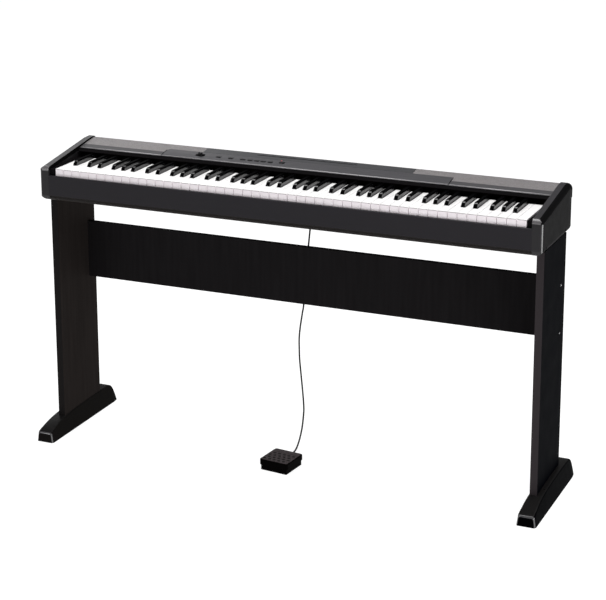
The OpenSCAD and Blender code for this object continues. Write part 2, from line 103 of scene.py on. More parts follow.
class Nodes:
    """A material's nodes, added one by one and linked by name."""

    def __init__(self, name):
        self.material = bpy.data.materials.new(name)
        self.material.use_nodes = True
        self.tree = self.material.node_tree
        self.shader = self.tree.nodes["Principled BSDF"]
        self.place = self.add("ShaderNodeTexCoord").outputs["Object"]

    def add(self, kind, **settings):
        node = self.tree.nodes.new(kind)
        for key, value in settings.items():
            setattr(node, key, value)
        return node

    def link(self, source, target):
        self.tree.links.new(source, target)

    def noise(self, size_mm, detail=3.0, stretch=(1, 1, 1)):
        """Noise whose features are about size_mm across."""
        source = self.place
        if stretch != (1, 1, 1):
            mapping = self.add("ShaderNodeMapping")
            mapping.inputs["Scale"].default_value = stretch
            self.link(source, mapping.inputs["Vector"])
            source = mapping.outputs["Vector"]
        noise = self.add("ShaderNodeTexNoise")
        noise.inputs["Scale"].default_value = 1000 / size_mm
        noise.inputs["Detail"].default_value = detail
        self.link(source, noise.inputs["Vector"])
        return noise.outputs["Fac"]

    def ramp(self, source, low, high, start=0.3, end=0.7):
        """Maps source from start..end to the numbers low..high."""
        node = self.add("ShaderNodeMapRange")
        node.inputs["From Min"].default_value = start
        node.inputs["From Max"].default_value = end
        node.inputs["To Min"].default_value = low
        node.inputs["To Max"].default_value = high
        self.link(source, node.inputs["Value"])
        return node.outputs["Result"]

    def blend(self, factor, first, second):
        """Mixes two colours, each a colour or the output of another node."""
        node = self.add("ShaderNodeMix", data_type="RGBA")
        for socket, value in ((node.inputs[6], first), (node.inputs[7], second)):
            if isinstance(value, (tuple, list)):
                socket.default_value = (*value, 1)
            else:
                self.link(value, socket)
        self.link(factor, node.inputs[0])
        return node.outputs[2]

    def colour(self, source):
        self.link(source, self.shader.inputs["Base Color"])

    def roughness(self, source):
        self.link(source, self.shader.inputs["Roughness"])

    def bump(self, source, depth_mm):
        node = self.add("ShaderNodeBump")
        node.inputs["Strength"].default_value = 1.0
        node.inputs["Distance"].default_value = depth_mm * MM
        self.link(source, node.inputs["Height"])
        self.link(node.outputs["Normal"], self.shader.inputs["Normal"])

    def set(self, **values):
        """Sets the shader's plain inputs; an underscore stands for a space in a name."""
        for name, value in values.items():
            self.shader.inputs[name.replace("_", " ")].default_value = value


def scaled(colour, factor):
    """A colour made lighter or darker by a factor."""
    return tuple(min(1.0, c * factor) for c in colour)


def plastic(name, colour, rough, shine, grain_mm=0.7, grain_depth=0.03, variation=0.07):
    """Moulded plastic: faint cloudy colour, uneven gloss and a fine eroded grain."""
    n = Nodes(name)
    n.colour(n.blend(n.noise(60), scaled(colour, 1 - variation), scaled(colour, 1 + variation)))
    n.roughness(n.ramp(n.noise(25), rough - 0.03, rough + 0.03))
    n.bump(n.noise(grain_mm, 2), grain_depth)
    n.set(Specular_IOR_Level=shine)
    return n.material


def board(name, colour):
    """Black melamine: long faint grain up the board, pressed into a satin face."""
    n = Nodes(name)
    grain = n.noise(9, 5, (1, 1, 0.06))
    n.colour(n.blend(n.ramp(grain, 0, 1), scaled(colour, 0.86), scaled(colour, 1.14)))
    n.roughness(n.ramp(n.noise(40), 0.46, 0.52))
    n.bump(grain, 0.04)
    n.set(Specular_IOR_Level=0.002)
    return n.material


def grille_metal(name, colour):
    """Sheet with staggered round holes 1.1 mm across, 1.8 mm apart, painted as darker discs: painted
    shade.
    """
    n = Nodes(name)
    pitch = 1.8 * MM
    mapping = n.add("ShaderNodeMapping")
    mapping.inputs["Scale"].default_value = (1 / pitch, 1 / pitch, 0)
    n.link(n.place, mapping.inputs["Vector"])
    cells = n.add("ShaderNodeTexVoronoi", feature="F1", voronoi_dimensions="2D")
    cells.inputs["Scale"].default_value = 1
    cells.inputs["Randomness"].default_value = 0
    n.link(mapping.outputs["Vector"], cells.inputs["Vector"])
    # Each hole is a darker disc in the colour with a bump at its edge, not a cut: painted shade.
    painted_hole_shade = n.ramp(cells.outputs["Distance"], 0, 1, 0.24, 0.34)
    tint = n.blend(n.noise(30), scaled(colour, 0.93), scaled(colour, 1.07))
    n.colour(n.blend(painted_hole_shade, scaled(colour, 0.4), tint))
    n.roughness(n.ramp(n.noise(12), 0.4, 0.5))
    n.bump(painted_hole_shade, 0.3)
    n.set(Specular_IOR_Level=0.4)
    return n.material


def rubber(name, colour):
    """Matt rubber with a cloudy colour and a rough grain."""
    n = Nodes(name)
    n.colour(n.blend(n.noise(18), scaled(colour, 0.85), scaled(colour, 1.15)))
    n.roughness(n.ramp(n.noise(6), 0.6, 0.75))
    n.bump(n.noise(0.9, 4), 0.06)
    n.set(Specular_IOR_Level=0.3)
    return n.material


def metal(name, colour, rough, scratch=(1, 1, 1)):
    """Bare or plated metal; scratch stretches its grain along an axis."""
    n = Nodes(name)
    grain = n.noise(2.5, 3, scratch)
    n.colour(n.blend(n.noise(20), scaled(colour, 0.88), scaled(colour, 1.06)))
    n.roughness(n.ramp(grain, rough - 0.08, rough + 0.1))
    n.bump(grain, 0.02)
    n.set(Metallic=1.0)
    return n.material


def circuit_board(name):
    """Green lacquer over tracks that show as straight lighter lines."""
    n = Nodes(name)
    tracks = n.add("ShaderNodeTexBrick")
    tracks.inputs["Scale"].default_value = 90
    tracks.inputs["Color1"].default_value = (0.012, 0.09, 0.03, 1)
    tracks.inputs["Color2"].default_value = (0.018, 0.12, 0.04, 1)
    tracks.inputs["Mortar"].default_value = (0.05, 0.22, 0.09, 1)
    n.link(n.place, tracks.inputs["Vector"])
    n.colour(tracks.outputs["Color"])
    n.roughness(n.ramp(n.noise(10), 0.3, 0.45))
    n.bump(tracks.outputs["Fac"], 0.05)
    return n.material


def felt(name, colour):
    """Fuzzy cloth with coarse fibres."""
    n = Nodes(name)
    n.colour(n.blend(n.noise(1.5, 5), scaled(colour, 0.6), scaled(colour, 1.3)))
    n.roughness(n.ramp(n.noise(3), 0.9, 1.0))
    n.bump(n.noise(0.6, 5), 0.3)
    n.set(Sheen_Weight=0.5)
    return n.material


def lamp_lens(name):
    """Red lens with a faint glow."""
    n = Nodes(name)
    n.colour(n.blend(n.noise(2), (0.34, 0.06, 0.075), (0.42, 0.1, 0.11)))
    n.roughness(n.ramp(n.noise(1), 0.12, 0.25))
    n.set(Emission_Color=(1.0, 0.3, 0.35, 1), Emission_Strength=0.06)
    return n.material


def polished_plastic(name, dark, light):
    """Smooth glossy plastic, without a grain, lighter than the black keys' tops: the black keys' front
    slopes and lower sides, a painted sheen.
    """
    n = Nodes(name)
    n.colour(n.blend(n.noise(30), dark, light))
    n.roughness(n.ramp(n.noise(14), 0.2, 0.28))
    n.bump(n.noise(0.9, 2), 0.01)
    n.set(Specular_IOR_Level=0.75)
    return n.material


MATERIALS = {
    "case": plastic("case_plastic", (0.0125, 0.0115, 0.0128), 0.42, 0.2),
    # A darker, duller copy of the case plastic for the outer sides and round outer edges of the ends:
    # painted shade.
    "case_side_painted_shade": plastic("case_side_plastic_painted_shade", (0.0032, 0.0031, 0.0033), 0.5, 0.012),
    # A lighter, glossier copy of the case plastic for rounded corners and edges: a painted highlight.
    "case_edge_painted_highlight": plastic("case_edge_painted_highlight", (0.03, 0.028, 0.03), 0.2, 0.9),
    "rail": plastic("front_rail_plastic", (0.0125, 0.0112, 0.0138), 0.45, 0.14),
    "strip": plastic("lower_strip_plastic", (0.017, 0.0145, 0.0135), 0.5, 0.1),
    # A light colour for the tray's narrow front ledges: a painted highlight.
    "ledge_painted_highlight": plastic("lower_strip_ledge_painted_highlight", (0.075, 0.07, 0.07), 0.35, 0.5),
    "cap": plastic("end_cap_plastic", (0.021, 0.0197, 0.0222), 0.38, 0.3),
    # A light glossy colour for the caps' round noses: a painted highlight.
    "nose": plastic("end_cap_nose_painted_highlight", (0.085, 0.08, 0.084), 0.24, 0.9),
    "top": plastic("top_cover_plastic", (0.05, 0.048, 0.0512), 0.42, 0.2),
    "panel": plastic("control_panel_plastic", (0.053, 0.0515, 0.0555), 0.4, 0.2),
    "ledge": plastic("music_ledge_plastic", (0.044, 0.044, 0.047), 0.42, 0.2),
    # A light glossy colour for the top plates' rolled front edge: a painted highlight.
    "lip": plastic("lip_edge_painted_highlight", (0.26, 0.252, 0.26), 0.25, 0.9),
    "black": plastic("inner_black_plastic", (0.0055, 0.005, 0.0055), 0.5, 0.0),
    "button": plastic("button_plastic", (0.008, 0.008, 0.0085), 0.35, 0.12),
    "white_key": plastic("white_key_top", (0.84, 0.83, 0.825), 0.3, 0.4, 1.2, 0.004, 0.006),
    "key_body": plastic("white_key_body", (0.88, 0.82, 0.85), 0.4, 0.3, 1.2, 0.006, 0.012),
    # Grey for the front of each key top's lip: painted shade.
    "key_lip_painted_shade": plastic("white_key_lip_painted_shade", (0.3, 0.28, 0.29), 0.4, 0.3, 1.2, 0.006, 0.012),
    # Two copies of one black plastic: a darker, nearly unreflecting top (painted shade) and a lighter
    # glossy side (painted sheen).
    "black_key": plastic("black_key_top_painted_shade", (0.0012, 0.0012, 0.0014), 0.4, 0.003, 0.9, 0.012),
    "black_side_painted_sheen": polished_plastic("black_key_side_painted_sheen", (0.004, 0.004, 0.0045), (0.006, 0.006, 0.0065)),
    # Copies of one black melamine and its edge band, lighter or darker by how light falls on each
    # board: the left leg lighter (painted light), the right leg much darker (painted shade), the back
    # panel in between, and the right edge band lighter than the left.
    "board_left": board("black_melamine_left_painted_light", (0.0165, 0.0137, 0.0128)),
    "board_right": board("black_melamine_right_painted_shade", (0.0014, 0.0016, 0.0024)),
    "board_back": board("black_melamine_back", (0.0105, 0.0096, 0.0102)),
    "edge_left": plastic("board_edge_band_left_painted_shade", (0.0085, 0.0075, 0.0075), 0.45, 0.03),
    "edge_right": plastic("board_edge_band_right_painted_light", (0.021, 0.0165, 0.0185), 0.45, 0.12),
    # Copies of one foot plastic: the left foot's sides lighter and the right foot's much darker
    # (painted light and shade), upward faces lighter (painted light), and light glossy nose edges
    # (painted highlight).
    "foot_left": plastic("foot_plastic_left_painted_light", (0.0075, 0.0069, 0.0065), 0.4, 0.002),
    "foot_right": plastic("foot_plastic_right_painted_shade", (0.0006, 0.0007, 0.001), 0.4, 0.002),
    "foot_top_painted_light": plastic("foot_top_painted_light", (0.009, 0.0085, 0.0085), 0.3, 0.05),
    "foot_nose_painted_highlight": plastic("foot_nose_painted_highlight", (0.045, 0.043, 0.045), 0.14, 1.0),
    "pedal": plastic("pedal_plastic", (0.0015, 0.0012, 0.0012), 0.4, 0.005),
    "tread": rubber("pedal_tread_rubber", (0.05, 0.039, 0.041)),
    # A much darker rubber for the tread's bumps: painted shade.
    "bump": rubber("pedal_bump_painted_shade", (0.004, 0.003, 0.003)),
    "cord": rubber("cord_jacket", (0.012, 0.012, 0.013)),
    "grille": grille_metal("perforated_grille", (0.2, 0.187, 0.188)),
    "steel": metal("bright_steel", (0.6, 0.6, 0.61), 0.3, (0.1, 1, 1)),
    "screw": metal("plated_screw", (0.8, 0.8, 0.81), 0.35),
    "dark_steel": metal("black_plated_steel", (0.015, 0.015, 0.016), 0.5),
    "zinc": metal("plated_sheet", (0.36, 0.37, 0.39), 0.4),
    "pcb": circuit_board("circuit_board_lacquer"),
    "felt": felt("red_felt", (0.25, 0.02, 0.02)),
    "lamp": lamp_lens("power_lamp_lens"),
}


# ---------- pieces ----------

def set_up(piece, body, nodes, slot, *materials):
    """Gives a finished piece its materials and body, and hides the CAD nodes that it stands for; slot
    is not used.
    """
    for name in materials:
        piece.data.materials.append(MATERIALS[name])
    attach(piece, body)
    if nodes:
        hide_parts(*nodes)
    return piece


def to_object(name, bm, smooth=True):
    """Makes a piece from a bmesh and frees the bmesh."""
    bmesh.ops.recalc_face_normals(bm, faces=bm.faces)
    mesh = bpy.data.meshes.new(name)
    bm.to_mesh(mesh)
    bm.free()
    if smooth:
        mesh.shade_smooth()
    piece = bpy.data.objects.new(name, mesh)
    bpy.context.scene.collection.objects.link(piece)
    return piece


def bevel(piece, width_mm, segments=3, angle=35, edge=None):
    """Rounds the edges sharper than an angle in degrees and keeps flat faces flat; edge is the
    material number of the round faces."""
    mod = piece.modifiers.new("round_edges", "BEVEL")
    mod.width = width_mm * MM
    mod.segments = segments
    mod.limit_method = "ANGLE"
    mod.angle_limit = math.radians(angle)
    mod.miter_outer = "MITER_ARC"
    mod.use_clamp_overlap = True
    if edge is not None:
        mod.material = edge
    normals = piece.modifiers.new("flat_faces", "WEIGHTED_NORMAL")
    normals.keep_sharp = True
    return piece


def add_prism(bm, outline, x0, x1, material=0):
    """Adds a bar along X to bm. The outline is in (y, z), and all sizes are in millimetres."""
    rings = [[bm.verts.new(mm(x, y, z)) for y, z in outline] for x in (x0, x1)]
    count = len(outline)
    faces = [rings[0], rings[1][::-1]]
    faces += [[rings[0][i], rings[1][i], rings[1][(i + 1) % count], rings[0][(i + 1) % count]]
              for i in range(count)]
    for corners in faces:
        bm.faces.new(corners).material_index = material
    return rings[0] + rings[1]


def add_slab(bm, outline, z0, z1, material=0):
    """Adds an upright slab to bm. The outline is in (x, y), and all sizes are in millimetres."""
    rings = [[bm.verts.new(mm(x, y, z)) for x, y in outline] for z in (z0, z1)]
    count = len(outline)
    faces = [rings[0][::-1], rings[1]]
    faces += [[rings[0][i], rings[0][(i + 1) % count], rings[1][(i + 1) % count], rings[1][i]]
              for i in range(count)]
    for corners in faces:
        bm.faces.new(corners).material_index = material
    return rings[0] + rings[1]


def add_box(bm, x0, x1, y0, y1, z0, z1, material=0):
    """Adds a box to bm; all sizes are in millimetres."""
    add_slab(bm, [(x0, y0), (x1, y0), (x1, y1), (x0, y1)], z0, z1, material)


def add_beam(bm, outline, y0, y1):
    """Adds a beam along Y to bm. The outline is in (x, z), and all sizes are in millimetres."""
    rings = [[bm.verts.new(mm(x, y, z)) for x, z in outline] for y in (y0, y1)]
    count = len(outline)
    bm.faces.new(rings[0])
    bm.faces.new(rings[1][::-1])
    for i in range(count):
        j = (i + 1) % count
        bm.faces.new([rings[0][i], rings[0][j], rings[1][j], rings[1][i]])


def quarter_turn(count):
    """The given number of even angles from 0 to 90 degrees."""
    return [math.radians(90 * k / (count - 1)) for k in range(count)]


def split_faces(bm, place, normal):
    """Divides the faces that a plane crosses, so that both sides can differ."""
    everything = bm.verts[:] + bm.edges[:] + bm.faces[:]
    bmesh.ops.bisect_plane(bm, geom=everything, plane_co=place, plane_no=normal)


def add_lathe(bm, start, along, profile, sides=32, material=0):
    """Adds a turned shape: profile lists (distance along the axis, radius) in millimetres."""
    axis = Vector(along).normalized()
    side = axis.orthogonal().normalized()
    other = axis.cross(side)
    rings = []
    for distance, radius in profile:
        centre = Vector(start) + axis * distance * MM
        turn = [(math.cos(a), math.sin(a)) for a in (2 * math.pi * k / sides for k in range(sides))]
        rings.append([bm.verts.new(centre + radius * MM * (side * c + other * s)) for c, s in turn])
    for first, second in zip(rings, rings[1:]):
        for k in range(sides):
            corners = [first[k], first[(k + 1) % sides], second[(k + 1) % sides], second[k]]
            bm.faces.new(corners).material_index = material
    bm.faces.new(rings[0][::-1]).material_index = material
    bm.faces.new(rings[-1]).material_index = material


def combine(piece, shapes, operation="DIFFERENCE"):
    """Cuts the closed shapes in a bmesh out of a piece for good, or keeps only what they share."""
    bmesh.ops.recalc_face_normals(shapes, faces=shapes.faces)
    tool = to_object("cutter", shapes, smooth=False)
    mod = piece.modifiers.new("cut", "BOOLEAN")
    mod.operation = operation
    mod.solver = "EXACT"
    mod.object = tool
    bpy.context.view_layer.update()
    finished = piece.evaluated_get(bpy.context.evaluated_depsgraph_get())
    result = bpy.data.meshes.new_from_object(finished)
    piece.modifiers.clear()
    piece.data = result
    result.shade_smooth()
    bpy.data.objects.remove(tool)
    return piece


def refine(name, node, body, slot, materials, bevel_mm, segments=3,
           paint=None, edge=None, keep=None):
    """A finer stand-in for a CAD node: its triangles joined into flat faces and its edges rounded.
    paint gives each face's material number from its normal and its middle in millimetres; keep is
    the shape that the piece must stay inside."""
    bm = bmesh.new()
    bm.from_mesh(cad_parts[node].data)
    bmesh.ops.remove_doubles(bm, verts=bm.verts, dist=0.00001)
    bmesh.ops.dissolve_limit(bm, angle_limit=math.radians(1), verts=bm.verts, edges=bm.edges)
    bm.normal_update()
    for face in bm.faces:
        face.material_index = paint(face.normal, face.calc_center_median() / MM) if paint else 0
    piece = to_object(name, bm)
    if keep:
        combine(piece, keep, "INTERSECT")
    bevel(piece, bevel_mm, segments, 33, edge)
    return set_up(piece, body, [node], slot, *materials)


def dress_cad(node, material):
    """Keeps an inner CAD node as it is, under a procedural material."""
    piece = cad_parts[node]
    piece.data.materials.clear()
    piece.data.materials.append(MATERIALS[material])


# ---------- shared measures, in millimetres ----------

FRONT = lo("front_rail").y / MM
REAR = hi("lower_case").y / MM
HALF_WIDTH = hi("right_end_block").x / MM
INNER = hi("front_rail").x / MM
BODY_BOTTOM = lo("lower_case").z / MM
RAIL_TOP = hi("front_rail").z / MM
KEY_TOP = hi("key_c").z / MM
KEY_FRONT = lo("key_c").y / MM
KEY_REAR = hi("key_c").y / MM
SHARP_FRONT = lo("key_c_sharp").y / MM
SHARP_TOP = hi("key_c_sharp").z / MM
PITCH = (lo("key_d").x - lo("key_c").x) / MM
GAP = PITCH - (hi("key_c").x - lo("key_c").x) / MM
KEYS_LEFT = lo("bass_white_keys").x / MM - GAP / 2
BLACK_WIDTH = (hi("key_c_sharp").x - lo("key_c_sharp").x) / MM
WHITES = 52
OCTAVE = 7
MIDDLE = 23  # number of the white key that begins the middle octave, the lowest being 0
WHITE_KEY_LIP = 1.5
WHITE_KEY_DEPTH = 22
KEY_ARM_DEPTH = 14
PAINTED_SHEEN_TOP = KEY_TOP + 8  # the black keys' sides get the lighter glossy copy below this height: a painted sheen
LIP = lo("top_cover").y / MM
LIP_TOP = 741.2
CREASE = lo("left_grille").y / MM
COVER_SLOPES = 0.2488, 0.1475  # rise of the top surface per length, before and behind the crease
WHITE_END = LIP - 10  # the tops end under the strip in front of the lip
TRAY_NOTCHES = FRONT + 29, FRONT + 190  # front ends of the notches under the side plates
NOTCH_LENGTH, NOTCH_HEIGHT = 7, 15
UNDER_CASE, UNDER_COVER, OVER_CASE = 600, 700, 800  # ends of cutting shapes, clear of the pieces
PEDAL_HALF_WIDTH = 40
PEDAL_TURN = math.radians(-6.5)
CORD_THICKNESS = 4.4
RIB_COUNT = 6


# ---------- cord and plug ----------

def catmull_rom(points, steps):
    """A smooth line through the points; steps is the number of stretches between each two."""
    out = []
    for i in range(len(points) - 1):
        a, b = points[max(i - 1, 0)], points[i]
        c, d = points[i + 1], points[min(i + 2, len(points) - 1)]
        for s in range(steps):
            t = s / steps
            out.append(0.5 * (2 * b + (c - a) * t + (2 * a - 5 * b + 4 * c - d) * t * t
                              + (3 * b - a - 3 * c + d) * t ** 3))
    return out + [points[-1]]


def cord_points():
    """The CAD route, from the pedal to the plug: along the floor, then up behind the back panel."""
    jack_x, jack_z = -18, 690
    plug_end = REAR + 39
    centre = pedal_middle() / MM
    across = Vector((math.cos(PEDAL_TURN), math.sin(PEDAL_TURN), 0))
    along = Vector((-math.sin(PEDAL_TURN), math.cos(PEDAL_TURN), 0))
    gland = centre + across * 19 + along * 38 + Vector((0, 0, 9))
    near = centre + across * 18.5 + along * 48 + Vector((0, 0, 7.6))
    upper = [(jack_x, 0, jack_z), (jack_x, 7, jack_z - 0.7), (jack_x - 0.5, 14, jack_z - 4),
             (jack_x - 3, 18, jack_z - 11), (-25, 18, 665), (-30, 14, 638), (-32, 7, 595),
             (-35.5, 2, 540), (-41, 0, 480), (-46, 0, 420)]
    hanging = [(-51, 0, 355), (-55, 0, 330), (-61, 0, 292), (-64, 0, 262), (-63.5, -1, 229),
               (-62, -2, 202), (-56, -6, 159), (-49, -12, 116), (-42, -22, 80), (-39, -33, 57),
               (-35.5, -49, 36), (-32, -71, 17), (-28, -95, 6.5), (-25, -114, 3), (-22, -136, 2.6),
               (-14, -152, 3.6)]
    route = [(x, plug_end + y, z) for x, y, z in upper + hanging]
    route += [(-5, plug_end - 168, 5.2), near, gland]
    return catmull_rom([Vector(mm(*p)) for p in reversed(route)], 8)


def make_plug():
    """Straight plug: shaft in the jack, ridged grip and a ribbed strain relief."""
    bm = bmesh.new()
    start = (lo("pedal_plug") + hi("pedal_plug")) / 2
    start.y = REAR * MM + 1.8 * MM
    shaft = [(-26, 1.0), (-25, 2.4), (-22, 3.1), (-20.5, 2.2), (-19, 3.1), (0.4, 3.1)]
    add_lathe(bm, start, (0, 1, 0), shaft, 24, 1)
    grip = [(0, 4.6), (0.4, 5.7), (2, 6.0)]
    for k in range(RIB_COUNT):
        at = 5 + k * 2.6
        grip += [(at, 6.0), (at + 0.3, 5.5), (at + 1.1, 5.5), (at + 1.4, 6.0)]
    grip += [(22.5, 6.0), (24, 5.0)]
    for k in range(RIB_COUNT):
        at, radius = 24.6 + k * 2, 4.9 - k * 0.34
        grip += [(at, radius), (at + 1.2, radius - 0.1),
                 (at + 1.3, radius - 0.7), (at + 1.9, radius - 0.7)]
    add_lathe(bm, start, (0, 1, 0), grip + [(36.8, 2.9), (37.2, 2.25)], 32)
    piece = to_object("plug_on_pedal_cord", bm)
    piece.data.set_sharp_from_angle(angle=math.radians(40))
    return set_up(piece, ROOT, ["pedal_plug"], "cord_rubber", "cord", "steel")


def make_cord():
    """The pedal's cord, a round tube along its route, with the plug at its far end."""
    points = cord_points()
    data = bpy.data.curves.new("cord_of_pedal", "CURVE")
    data.dimensions = "3D"
    data.bevel_depth = CORD_THICKNESS / 2 * MM
    data.bevel_resolution = 4
    spline = data.splines.new("POLY")
    spline.points.add(len(points) - 1)
    for point, place in zip(spline.points, points):
        point.co = (*place, 1)
    spline.use_smooth = True
    piece = bpy.data.objects.new("cord_of_pedal", data)
    bpy.context.scene.collection.objects.link(piece)
    set_up(piece, ROOT, ["pedal_cord"], "cord_rubber", "cord")
    make_plug()


# ---------- keys ----------

SHARP_SHIFT = {0: -3, 1: 3, 3: -4, 4: 0, 5: 4}  # of each black key from its gap, by step above C
KEY_NOTCH = BLACK_WIDTH / 2 + 1.3


def step(number):
    """A white key's step in its octave, C being 0; the lowest key is an A."""
    return (number + 5) % OCTAVE


def has_sharp(number):
    """Whether a black key stands between this white key and the next one."""
    return number < WHITES - 1 and step(number) in SHARP_SHIFT


def add_white_key(bm, number):
    """A key top with a small lip over a narrower body."""
    left_side = KEYS_LEFT + number * PITCH
    s = step(number)
    x0, x1 = left_side + GAP / 2, left_side + PITCH - GAP / 2
    r0, r1 = x0, x1
    if number > 0 and has_sharp(number - 1):
        r0 = left_side + SHARP_SHIFT[s - 1] + KEY_NOTCH
    if has_sharp(number):
        r1 = left_side + PITCH - KEY_NOTCH + SHARP_SHIFT[s]
    shoulder = SHARP_FRONT - 1
    body_top, arm_bottom = KEY_TOP - WHITE_KEY_LIP, KEY_TOP - KEY_ARM_DEPTH
    outline = [(x0 + 0.5, KEY_FRONT), (x1 - 0.5, KEY_FRONT), (x1, KEY_FRONT + 0.6)]
    outline += [(x1, shoulder), (r1, shoulder)] if r1 < x1 else []
    outline += [(r1, WHITE_END), (r0, WHITE_END)]
    outline += [(r0, shoulder), (x0, shoulder)] if r0 > x0 else []
    outline += [(x0, KEY_FRONT + 0.6)]
    add_slab(bm, outline, body_top, KEY_TOP)
    add_box(bm, x0 + 0.2, x1 - 0.2, KEY_FRONT + 1.2, shoulder, KEY_TOP - WHITE_KEY_DEPTH, body_top, 1)
    add_box(bm, r0 + 0.2, r1 - 0.2, shoulder, WHITE_END, arm_bottom, body_top, 1)
    add_box(bm, r0 + 0.2, r1 - 0.2, WHITE_END, KEY_REAR, arm_bottom, KEY_TOP - 8, 2)


def add_black_key(bm, number):
    """A key with a sloped front and sides that lean in towards the top, and its narrower rear arm."""
    middle = KEYS_LEFT + (number + 1) * PITCH + SHARP_SHIFT[step(number)]
    left, right = middle - BLACK_WIDTH / 2, middle + BLACK_WIDTH / 2
    low, arm = KEY_TOP - KEY_ARM_DEPTH, WHITE_END + 1
    outline = [(SHARP_FRONT, low), (SHARP_FRONT, KEY_TOP + 1), (SHARP_FRONT + 1.2, KEY_TOP + 4),
               (SHARP_FRONT + 6, SHARP_TOP - 2.6), (SHARP_FRONT + 9, SHARP_TOP - 0.7),
               (SHARP_FRONT + 12, SHARP_TOP), (arm, SHARP_TOP), (arm, low)]
    verts = add_prism(bm, outline, left, right)
    for vert in verts:
        rise = max(0.0, (vert.co.z / MM - KEY_TOP) / (SHARP_TOP - KEY_TOP))
        vert.co.x = middle * MM + (vert.co.x - middle * MM) * (1 - 0.17 * rise)
    outline = [(arm, low), (arm, SHARP_TOP - 0.5), (arm + 6, KEY_TOP + 6),
               (KEY_REAR, KEY_TOP - 8), (KEY_REAR, low)]
    add_prism(bm, outline, left + 1.2, right - 1.2, 2)


def make_white_keys(name, node, first, last):
    """The white keys from first to last as one piece, with the front of each top's lip painted grey:
    painted shade.
    """
    bm = bmesh.new()
    for number in range(first, last + 1):
        add_white_key(bm, number)
    bm.normal_update()
    # The front faces of the top slabs get the grey key_lip_painted_shade colour: painted shade.
    for face in bm.faces:
        if face.normal.y < -0.9 and face.calc_center_median().z / MM > KEY_TOP - WHITE_KEY_LIP:
            face.material_index = 3
    piece = bevel(to_object(name, bm), 0.45, 3)
    return set_up(piece, node, [node], "white_key", "white_key", "key_body", "black", "key_lip_painted_shade")


def make_black_keys(name, node, first, last):
    """The black keys after white keys first to last as one piece: darker dull tops and upper sides
    (painted shade), lighter glossy front slopes and lower sides (painted sheen)."""
    bm = bmesh.new()
    for number in range(first, last + 1):
        if has_sharp(number):
            add_black_key(bm, number)
    split_faces(bm, mm(0, 0, PAINTED_SHEEN_TOP), (0, 0, 1))
    bm.normal_update()
    # Front slopes and lower sides get the lighter glossy copy (painted sheen); tops and upper sides
    # keep the darker dull copy (painted shade).
    for face in bm.faces:
        slope = face.normal.y < -0.3 and 0.78 < face.normal.z
        painted_sheen_side = abs(face.normal.x) > 0.6 and face.calc_center_median().z / MM < PAINTED_SHEEN_TOP
        if face.material_index == 0 and (slope or painted_sheen_side):
            face.material_index = 1
    piece = bevel(to_object(name, bm), 1.1, 4, 30)
    return set_up(piece, node, [node], "black_key", "black_key", "black_side_painted_sheen", "black")


def make_keys():
    """The groups below and above the middle octave, then its twelve keys one by one."""
    make_white_keys("white_keys_of_bass", "bass_white_keys", 0, MIDDLE - 1)
    make_white_keys("white_keys_of_treble", "treble_white_keys", MIDDLE + OCTAVE, WHITES - 1)
    make_black_keys("black_keys_of_bass", "bass_black_keys", 0, MIDDLE - 1)
    make_black_keys("black_keys_of_treble", "treble_black_keys", MIDDLE + OCTAVE, WHITES - 1)
    for place, letter in enumerate("cdefgab"):
        number = MIDDLE + place
        make_white_keys(f"white_key_{letter}", f"key_{letter}", number, number)
        if has_sharp(number):
            make_black_keys(f"black_key_{letter}_sharp", f"key_{letter}_sharp", number, number)


# ---------- case ----------

def arc(centre_y, centre_z, radius, start, end, count):
    """Points in (y, z) along an arc; the angles are in degrees from +Y towards +Z."""
    turns = [math.radians(start + (end - start) * k / (count - 1)) for k in range(count)]
    return [(centre_y + radius * math.cos(a), centre_z + radius * math.sin(a)) for a in turns]


def keep_round_corner(piece, inner, outer, radius):
    """Rounds the upright front outer corner of an end piece."""
    side = math.copysign(1, outer)
    corner = [(outer - side * radius * (1 - math.sin(a)), FRONT + radius * (1 - math.cos(a)))
              for a in quarter_turn(13)]
    shape = bmesh.new()
    outline = [(inner, FRONT)] + corner + [(outer, REAR + 1), (inner, REAR + 1)]
    add_slab(shape, outline, UNDER_CASE, OVER_CASE)
    combine(piece, shape, "INTERSECT")


def in_notch(place):
    """Whether a point in millimetres lies in a notch under a side plate."""
    return place.z < BODY_BOTTOM + NOTCH_HEIGHT + 1 and any(
        -0.1 < place.y - y < NOTCH_LENGTH + 0.1 for y in TRAY_NOTCHES)


